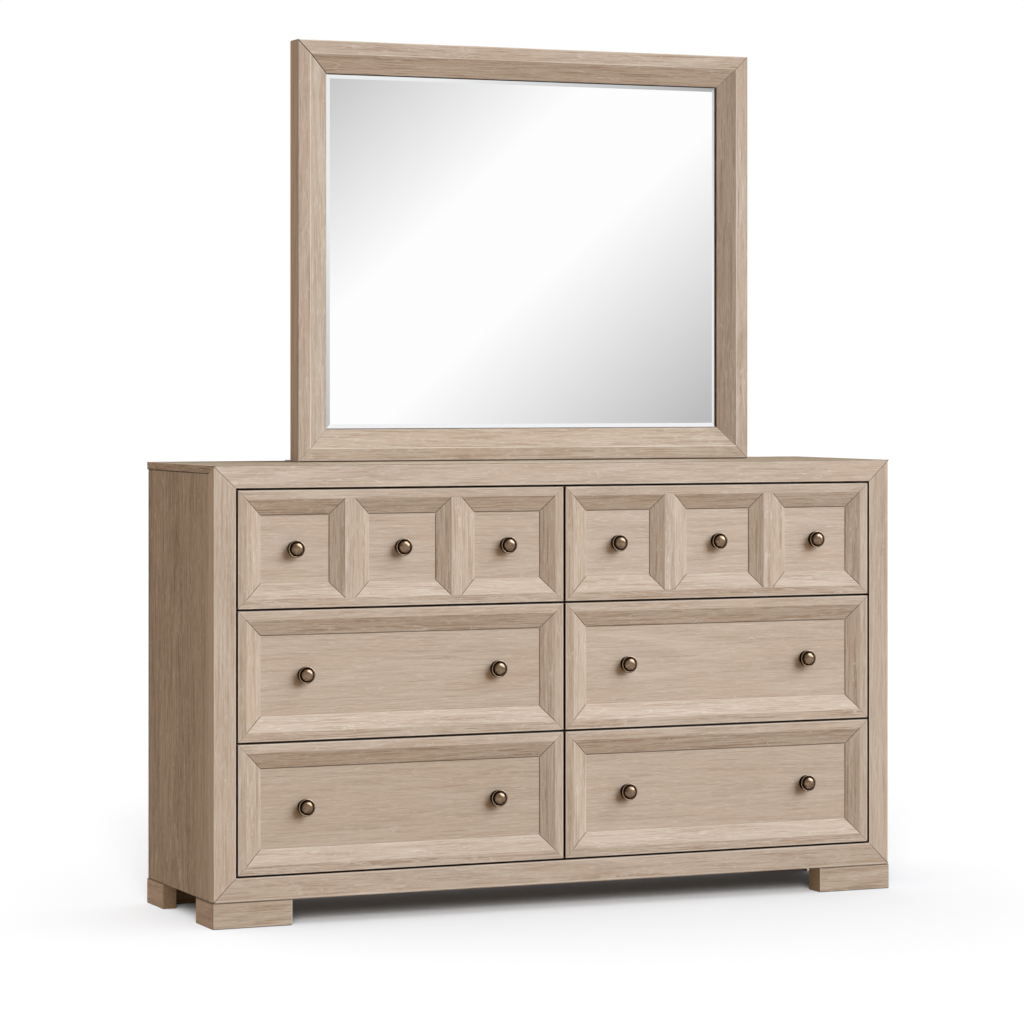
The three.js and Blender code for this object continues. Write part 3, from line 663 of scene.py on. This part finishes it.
# Knobs
# Cast brass, turned and darkened: a flanged foot, a narrow neck, a rolled rim and a domed button
# set in it, with the patina left dark in the hollows and rubbed brighter on the crowns.
knob_profile = np.array([
    (14.2, 0.0, -0.8), (16.5, 0.1, -0.9), (17.0, 0.7, -0.8), (16.8, 1.5, -0.8), (15.9, 2.2, -1.0),
    (14.0, 2.7, -1.0), (11.2, 3.2, -1.0), (9.0, 4.0, -1.0), (7.3, 5.2, -1.0), (6.5, 6.8, -1.0),
    (6.9, 8.4, -1.0), (8.8, 10.0, -1.0), (12.4, 11.2, -1.0), (15.9, 11.9, -1.0), (18.1, 12.4, -0.9),
    (18.9, 13.2, -0.4), (19.0, 13.9, 0.2), (18.6, 14.6, 0.7), (17.8, 15.0, 0.9), (16.9, 14.9, 0.6),
    (16.1, 14.3, -0.3), (15.3, 13.9, -0.9), (14.7, 14.0, -1.0), (14.3, 14.7, -0.9), (13.9, 15.9, -0.5),
    (13.1, 17.2, 0.0), (11.6, 18.7, 0.4), (9.5, 19.8, 0.6), (6.7, 20.6, 0.65), (3.5, 20.93, 0.8),
    (0.5, 21.0, 0.8)])
cross_half_width, cross_reach = 0.5, 2.2


def through(stations, between=3):
    """A smooth curve through stations: between two of them, P1 and P2, it is the cubic
    P1 + t(P2-P0)/2 + ..., whose tangents follow the neighbours P0 and P3."""
    padded = np.concatenate([2 * stations[:1] - stations[1:2], stations, 2 * stations[-1:] - stations[-2:-1]])
    p0, p1, p2, p3 = padded[:-3, None], padded[1:-2, None], padded[2:-1, None], padded[3:, None]
    t = (np.arange(between) / between)[None, :, None]
    second, third = 2 * p0 - 5 * p1 + 4 * p2 - p3, 3 * (p1 - p2) + p3 - p0
    curve = p1 + t * (p2 - p0) / 2 + t**2 * second / 2 + t**3 * third / 2
    return np.concatenate([curve.reshape(-1, stations.shape[1]), stations[-1:]])


def turned_set(name, stations, centres, facing, material, body, slot, *nodes, turns=64, cross=0.0):
    """Like pieces turned on a lathe, one at each centre, joined in one mesh. With u and v square to the
    facing w, the point at height h and angle a is centre + r cos a u + r sin a v + h w. Stations are
    (radius, height, wear) in millimetres, and a cross of the given depth may be sunk in the head."""
    curve = through(stations)
    angle = np.arange(turns) * 2 * np.pi / turns
    u, v = (RIGHT, BACK) if abs(facing[2]) > 0.5 else (RIGHT, UP)
    flat = curve[:, :1, None] * (np.cos(angle)[None, :, None] * u + np.sin(angle)[None, :, None] * v)
    slim = np.minimum(abs(flat @ u), abs(flat @ v)) < cross_half_width
    height = curve[:, 1:2] - cross * (slim & (curve[:, :1] < cross_reach))
    local = (flat + height[:, :, None] * facing) * mm
    points = np.array(centres).reshape(-1, 1, 1, 3) + local
    here = np.arange(turns)
    following = np.roll(here, -1)
    base = (np.arange(len(curve) - 1) * turns)[:, None]
    quads = np.stack([base + here, base + following, base + turns + following, base + turns + here], 2)
    faces = quads.reshape(-1, 4).tolist() + [here[::-1].tolist(), (here + (len(curve) - 1) * turns).tolist()]
    each = len(curve) * turns
    faces = [[corner + k * each for corner in face] for k in range(len(points)) for face in faces]
    wear = np.tile(np.repeat(curve[:, 2], turns), len(points))
    piece = new_piece(name, points, faces, [material], wear=wear)
    piece.data.shade_smooth()
    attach(piece, body)
    if nodes:
        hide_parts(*nodes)


def aged_metal(name, bright, dull, hollow, roughness, mottle=160.0, lacquer=0.0):
    """Metal with a patina: bright where the wear attribute is high, dull elsewhere and nearly black in
    the hollows, with a fine mottle on its colour and gloss. A clear lacquer is left on the crowns."""
    material = bpy.data.materials.new(name)
    material.use_nodes = True
    tree = material.node_tree
    shader = tree.nodes["Principled BSDF"]
    place = knot(tree, "TexCoord").outputs["Object"]
    spots = knot(tree, "TexNoise", {"Vector": place, "Scale": mottle, "Detail": 3.0}).outputs[0]
    wear = knot(tree, "Attribute", attribute_name="wear").outputs["Fac"]
    uneven = math_of(tree, "ADD", wear, spread(tree, spots, 0.3, 0.7, -0.35, 0.35))
    colour = blend_of(tree, spread(tree, uneven, 0.0, 1.1), dull, bright)
    colour = blend_of(tree, spread(tree, uneven, -0.1, -0.9), colour, hollow)
    tree.links.new(colour, shader.inputs["Base Color"])
    shader.inputs["Metallic"].default_value = 1.0
    gloss = spread(tree, uneven, -1.0, 1.0, roughness + 0.14, roughness - 0.04)
    tree.links.new(gloss, shader.inputs["Roughness"])
    lift = knot(tree, "Bump", {"Height": spots, "Strength": 0.06, "Distance": 0.0004})
    tree.links.new(lift.outputs[0], shader.inputs["Normal"])
    tree.links.new(spread(tree, uneven, 0.0, 0.6, 0.0, lacquer), shader.inputs["Coat Weight"])
    shader.inputs["Coat Roughness"].default_value = 0.17
    return material


aged_brass = aged_metal("aged_brass", paint(138, 110, 82), paint(70, 50, 32), paint(10, 7, 4),
                        roughness=0.26, lacquer=0.9)
knob_count = {1: 3, 2: 2, 3: 2}
for name, row in drawers:
    for i in range(1, knob_count[row] + 1):
        node = f"{name}_knob_{i}"
        low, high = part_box(node)
        centre = ((low.x + high.x) / 2, high.y, (low.z + high.z) / 2)
        turned_set(f"{node}_turned", knob_profile, [centre], -BACK, aged_brass, name, "aged_brass", node)

# Knob screws
# Each knob is held from inside by a pan-head screw of plated steel with a cross recess, on a washer
# that bears on the back of the drawer's front.
plated_screw = aged_metal("plated_screw", paint(196, 194, 188), paint(168, 166, 160), paint(70, 66, 60),
                          roughness=0.34, mottle=300.0)
washer = [(7.0, -0.2, -0.3), (7.0, 0.9, 0.2), (6.7, 1.1, 0.3), (4.3, 1.1, -0.6)]
washer_thickness, cross_depth = 1.2, 1.4
pan_head = [(4.2, 2.2, 0.0), (3.9, 3.0, 0.6), (3.2, 3.5, 0.8), (2.4, 3.7, 0.7),
            (2.0, 3.7, 0.2), (1.4, 3.7, 0.0), (0.9, 3.7, 0.0), (0.4, 3.7, 0.0)]
knob_screw = np.array(washer + pan_head)
for name, row in drawers:
    boxes = [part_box(f"{name}_knob_{i}") for i in range(1, knob_count[row] + 1)]
    places = [((low.x + high.x) / 2, case_face + front_depth * mm, (low.z + high.z) / 2) for low, high in boxes]
    turned_set(f"{name}_knob_screws", knob_screw, places, BACK, plated_screw, name, "bracket_steel",
               turns=32, cross=cross_depth)

# Mirror frame
# Four mitred oak members, flat outside and sloped towards the glass, with a rebate behind the lip
# that takes the glass and its backing.
mirror_low, mirror_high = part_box("mirror_stile_left")[0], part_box("mirror_stile_right")[1]
mirror_rect = (mirror_low.x / mm, mirror_high.x / mm, mirror_low.z / mm, mirror_high.z / mm)
flat_width, mirror_width, mirror_thickness = 30, 73, 50
slope_foot, lip_back, rebate_width = 15, 20, 65
mirror_widths = dict.fromkeys(("left", "right", "bottom", "top"), mirror_width)
mirror_outline = [
    (0, 0), (flat_width, 0), (mirror_width, slope_foot), (mirror_width, lip_back),
    (rebate_width, lip_back), (rebate_width, mirror_thickness), (0, mirror_thickness)]

# Tone and figure, how much darker the slope towards the glass is, and the grooves of the mitres at the ends
mirror_looks = dict(left=(-1.6, 0.7), right=(0.8, 0.7), bottom=(-4.6, 0.8), top=(0, 0.9))
mirror_slope = dict(left=-0.15, right=-0.14, bottom=-0.01, top=0.0)
mirror_joints = dict(left=(0.7, 1.7), right=(0.9, 0.9), bottom=(0.7, 0.8), top=(1.7, 0.9))


def mirror_finish(darkening, outer, lip):
    """The outer faces are made pale, a painted light on the sides of the frame, and the bottom face dark,
    a painted shadow where it stands on the top. The slope is a little darker, and the lip is painted
    dark where it meets the glass, behind the depth lip, a painted shade."""
    def finish(across, deep, wear):
        on_slope = (across > flat_width + 0.9) & (across < mirror_width - 0.8) & (deep < slope_foot + 0.3)
        wear = np.where(on_slope, darkening, wear)
        wear = np.where((across > mirror_width - 0.1) & (deep > lip), -1, wear)
        return np.where(across < 0.1, np.maximum(wear, outer) if outer > 0 else outer, wear)
    return finish


for side in mirror_widths:
    # The outer arris: dark at the bottom, a painted contact shadow, pale at the top, a painted highlight. The
    # crease between flat and slope is pale, a painted highlight, and the lip's corners at the glass are painted
    # shade
    outer_arris = {"bottom": -1.0, "top": 0.8}.get(side, -0.3)
    outer_face = -1 if side == "bottom" else 1.0
    lip_arris, lip_shade_from = (0.1, slope_foot + 2) if side == "right" else (-0.3, slope_foot + 0.3)
    mirror_section = eased(
        mirror_outline, (1.4, 1.0, 0.5, 0.3, 0.3, 0.6, 1.0), (outer_arris, 0.95, lip_arris, -1, -1, 0.2, -0.3),
        fade=(1.6, 0.5, 0.9, 0.9, 0.9, 0.9, 0.9),
        finish=mirror_finish(mirror_slope[side], outer_face, lip_shade_from))
    tone, bold = mirror_looks[side]
    piece = member(side, mirror_rect, mirror_low.y, mirror_section, mirror_widths, joints=mirror_joints[side],
                   tone=tone, bold=bold)
    kind = "stile" if side in ("left", "right") else "rail"
    assemble(f"mirror_{kind}_{side}_board", [piece], limed_oak, "case", "oak_finish", f"mirror_{kind}_{side}")

# Mirror glass
# Silvered plate glass with a ground and polished bevel all round, which reflects a little less than
# the face.
glass_low, glass_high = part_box("mirror_glass")
bevel_width, bevel_fall = 18 * mm, 2 * mm


def bevelled_plate(low, high):
    """The points and faces of a plate in three rectangles, from the front: the flat face, the foot of
    its bevel, and the back. Corner c of each is the middle plus or minus the half sizes."""
    middle = np.array([(low.x + high.x) / 2, 0, (low.z + high.z) / 2])
    half = np.array([(high.x - low.x) / 2, (high.z - low.z) / 2])
    corners = np.array([(-1, -1), (1, -1), (1, 1), (-1, 1)])
    depths = np.array([low.y, low.y + bevel_fall, high.y])
    insets = np.array([bevel_width, 0, 0])
    flat = corners[None] * (half[None, None] - insets[:, None, None])
    points = np.stack([flat[..., 0], depths[:, None] + 0 * flat[..., 0], flat[..., 1]], 2) + middle
    sides = [[r * 4 + c, r * 4 + (c + 1) % 4, r * 4 + 4 + (c + 1) % 4, r * 4 + 4 + c]
             for r in range(2) for c in range(4)]
    return points, [[0, 3, 2, 1], *sides, [8, 9, 10, 11]]


silvering = bpy.data.materials.new("silvering")
silvering.use_nodes = True
tree = silvering.node_tree
shader = tree.nodes["Principled BSDF"]
shader.inputs["Metallic"].default_value = 1.0
shader.inputs["Base Color"].default_value = (0.985, 0.985, 0.985, 1)
place = knot(tree, "TexCoord").outputs["Object"]
haze = knot(tree, "TexNoise", {"Vector": place, "Scale": 3.0, "Detail": 3.0}).outputs[0]
tree.links.new(spread(tree, haze, 0.3, 0.7, 0.004, 0.012), shader.inputs["Roughness"])
ground_bevel = silvering.copy()
ground_bevel.name = "ground_bevel"
ground_bevel.node_tree.nodes["Principled BSDF"].inputs["Base Color"].default_value = (0.83, 0.84, 0.84, 1)
glass = new_piece("silvered_plate", *bevelled_plate(glass_low, glass_high), [silvering, ground_bevel])
four_bevels = slice(1, 5)
for face in glass.data.polygons[four_bevels]:
    face.material_index = 1
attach(glass, "case")
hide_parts("mirror_glass")

# Mirror backing and brackets
# A sheet of thin board closes the frame behind the glass. Two plated steel angles, screwed to the
# back of the stiles and to the top, hold the mirror upright.
coat(sheet_board, "mirror_backing")
plated_steel = bpy.data.materials.new("plated_steel")
plated_steel.use_nodes = True
tree = plated_steel.node_tree
shader = tree.nodes["Principled BSDF"]
shader.inputs["Metallic"].default_value = 1.0
place = knot(tree, "TexCoord").outputs["Object"]
brushed = knot(tree, "VectorMath", {0: place, 1: (2500.0, 60.0, 60.0)}, operation="MULTIPLY")
brushing = knot(tree, "TexNoise", {"Vector": brushed.outputs[0], "Scale": 1.0, "Detail": 3.0}).outputs[0]
colour = blend_of(tree, brushing, paint(184, 179, 172), paint(212, 208, 201))
tree.links.new(colour, shader.inputs["Base Color"])
tree.links.new(spread(tree, brushing, 0.3, 0.7, 0.3, 0.46), shader.inputs["Roughness"])
coat(plated_steel, "mirror_bracket_left", "mirror_bracket_right")

# Bracket screws
# Four cross-head screws of plated steel hold each angle, two in the stile behind it and two in the
# top. They are those of the knobs, driven in without a washer.
angle_thickness = 3 * mm
stile_rises, top_reaches = (38 * mm, 78 * mm), (30 * mm, 56 * mm)
bracket_screw = np.concatenate([[(4.2, -0.2, -0.4)], np.array(pan_head) - (0, washer_thickness, 0)])
stile_places, top_places = [], []
for side in ("left", "right"):
    low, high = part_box(f"mirror_bracket_{side}")
    middle = (low.x + high.x) / 2
    stile_places += [(middle, low.y + angle_thickness, low.z + rise) for rise in stile_rises]
    top_places += [(middle, low.y + reach, low.z + angle_thickness) for reach in top_reaches]
for name, places, facing in (("stile_screws", stile_places, BACK), ("top_screws", top_places, UP)):
    turned_set(name, bracket_screw, places, facing, plated_screw, "case", "bracket_steel",
               turns=32, cross=cross_depth)

# Pins
# Thin round-headed steel pins, driven in at even steps round the edges, hold the case's back in its
# rebates and the backing in the mirror.
pin_head = np.array([(1.9, -0.2, -0.4), (1.9, 0.3, 0.0), (1.6, 0.6, 0.4), (1.0, 0.8, 0.6), (0.3, 0.85, 0.6)])


def round_rect(low, high, inset, step):
    """Places along the four sides of a rectangle, inset from its edges and about one step apart."""
    x0, x1, z0, z1 = low.x + inset, high.x - inset, low.z + inset, high.z - inset
    level = np.linspace(x0, x1, max(2, round((x1 - x0) / step) + 1))
    upright = np.linspace(z0, z1, max(2, round((z1 - z0) / step) + 1))[1:-1]
    rows = [np.stack([level, level * 0 + z], 1) for z in (z0, z1)]
    rows += [np.stack([upright * 0 + x, upright], 1) for x in (x0, x1)]
    return np.concatenate(rows)


for node, inset, step in (("back_panel", 0.004, 0.15), ("mirror_backing", 0.006, 0.12)):
    low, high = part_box(node)
    spots = round_rect(low, high, inset, step)
    places = np.stack([spots[:, 0], spots[:, 0] * 0 + high.y, spots[:, 1]], 1)
    turned_set(f"{node}_pins", pin_head, places, BACK, plated_screw, "case", "bracket_steel", turns=16)

# Floor, lamps and background
# A white studio floor that runs out of sight, a large soft lamp from the front right, even light from
# all round, and two lamps for the floor alone that shape the soft shadow on it.
floor_reach, floor_level = 60, -0.3 * mm
floor_mesh = bpy.data.meshes.new("floor")
floor_mesh.from_pydata([(x * floor_reach, y * floor_reach, floor_level)
                        for x, y in ((-1, -1), (1, -1), (1, 1), (-1, 1))], [], [[0, 1, 2, 3]])
floor = bpy.data.objects.new("floor", floor_mesh)
bpy.context.scene.collection.objects.link(floor)
floor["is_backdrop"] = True
floor_paint = bpy.data.materials.new("floor_paint")
floor_paint.use_nodes = True
tree = floor_paint.node_tree
shader = tree.nodes["Principled BSDF"]
ray = knot(tree, "LightPath")
seen = math_of(tree, "MAXIMUM", ray.outputs["Is Camera Ray"], math_of(
    tree, "MAXIMUM", ray.outputs["Is Glossy Ray"], ray.outputs["Is Transmission Ray"]))
colour = blend_of(tree, seen, (0.22, 0.188, 0.155, 1), (0.6, 0.72, 0.95, 1))
tree.links.new(colour, shader.inputs["Base Color"])
shader.inputs["Emission Color"].default_value = (1, 1, 1, 1)
tree.links.new(math_of(tree, "MULTIPLY", seen, 0.02), shader.inputs["Emission Strength"])
shader.inputs["Roughness"].default_value = 0.9
shader.inputs["Specular IOR Level"].default_value = 0.0
floor_mesh.materials.append(floor_paint)


def sun(name, strength, colour, toward, softness):
    """A lamp whose light comes from the direction given, as an azimuth to the right of the front and
    a height above the floor, both in degrees."""
    data = bpy.data.lights.new(name, "SUN")
    data.energy, data.color, data.angle = strength, colour, math.radians(softness)
    lamp = bpy.data.objects.new(name, data)
    azimuth, height = toward
    lamp.rotation_euler = (math.radians(90 - height), 0, math.radians(azimuth))
    bpy.context.scene.collection.objects.link(lamp)
    return lamp


cool_light, warm_light = (0.897, 1.0, 1.094), (1.2, 1.0, 0.76)
key = sun("key_lamp", 4.44, cool_light, (54, 34), 55)
overhead = sun("floor_lamp", 2.24, warm_light, (-110, 72), 130)
frontal = sun("floor_front_lamp", 3.5, warm_light, (-22, 25), 24)
for lamp, lights_floor in ((key, False), (overhead, True), (frontal, True)):
    group = bpy.data.collections.new(f"{lamp.name}_receivers")
    lamp.light_linking.receiver_collection = group
    group.objects.link(floor)
    group.collection_objects[0].light_linking.link_state = "INCLUDE" if lights_floor else "EXCLUDE"

# What the mirror and the knobs reflect is white, with soft grey bands that cross the front slantwise
# in degrees of azimuth and height, and an even grey behind
band_azimuth, band_height = (20, 6.6), (-0.7, 5.9)
world = bpy.data.worlds.new("studio")
bpy.context.scene.world = world
world.use_nodes = True
tree = world.node_tree
background = tree.nodes["Background"]
direction = knot(tree, "SeparateXYZ", {0: knot(tree, "TexCoord").outputs["Generated"]})
azimuth = math_of(tree, "ARCTAN2", direction.outputs[0], math_of(tree, "MULTIPLY", direction.outputs[1], -1.0))
azimuth = math_of(tree, "MULTIPLY", azimuth, 180 / math.pi)
height = math_of(tree, "MULTIPLY", math_of(tree, "ARCSINE", direction.outputs[2]), 180 / math.pi)
level, upright = (
    math_of(tree, "MULTIPLY_ADD", angle, 1 / width, -middle / width)
    for angle, (middle, width) in ((azimuth, band_azimuth), (height, band_height)))
band = math_of(tree, "SUBTRACT", level, upright)
grey = spread(tree, math_of(tree, "PINGPONG", band, 1.3), 0.2, 0.95)
reflected = blend_of(tree, grey, (1, 1, 1, 1), paint(188, 188, 188))
behind = spread(tree, math_of(tree, "ABSOLUTE", azimuth), 95, 125)
reflected = blend_of(tree, behind, reflected, (0.5, 0.5, 0.5, 1))
ray = knot(tree, "LightPath")
mirrored = math_of(tree, "MAXIMUM", ray.outputs["Is Glossy Ray"], ray.outputs["Is Transmission Ray"])
colour = blend_of(tree, mirrored, (0.345, 0.28, 0.215, 1), reflected)
colour = blend_of(tree, ray.outputs["Is Camera Ray"], colour, (1, 1, 1, 1))
tree.links.new(colour, background.inputs["Color"])
background.inputs["Strength"].default_value = 1.0
bpy.context.scene.view_settings.view_transform = "Standard"

boxes = {"cad": cad_box, "dressed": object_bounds()}
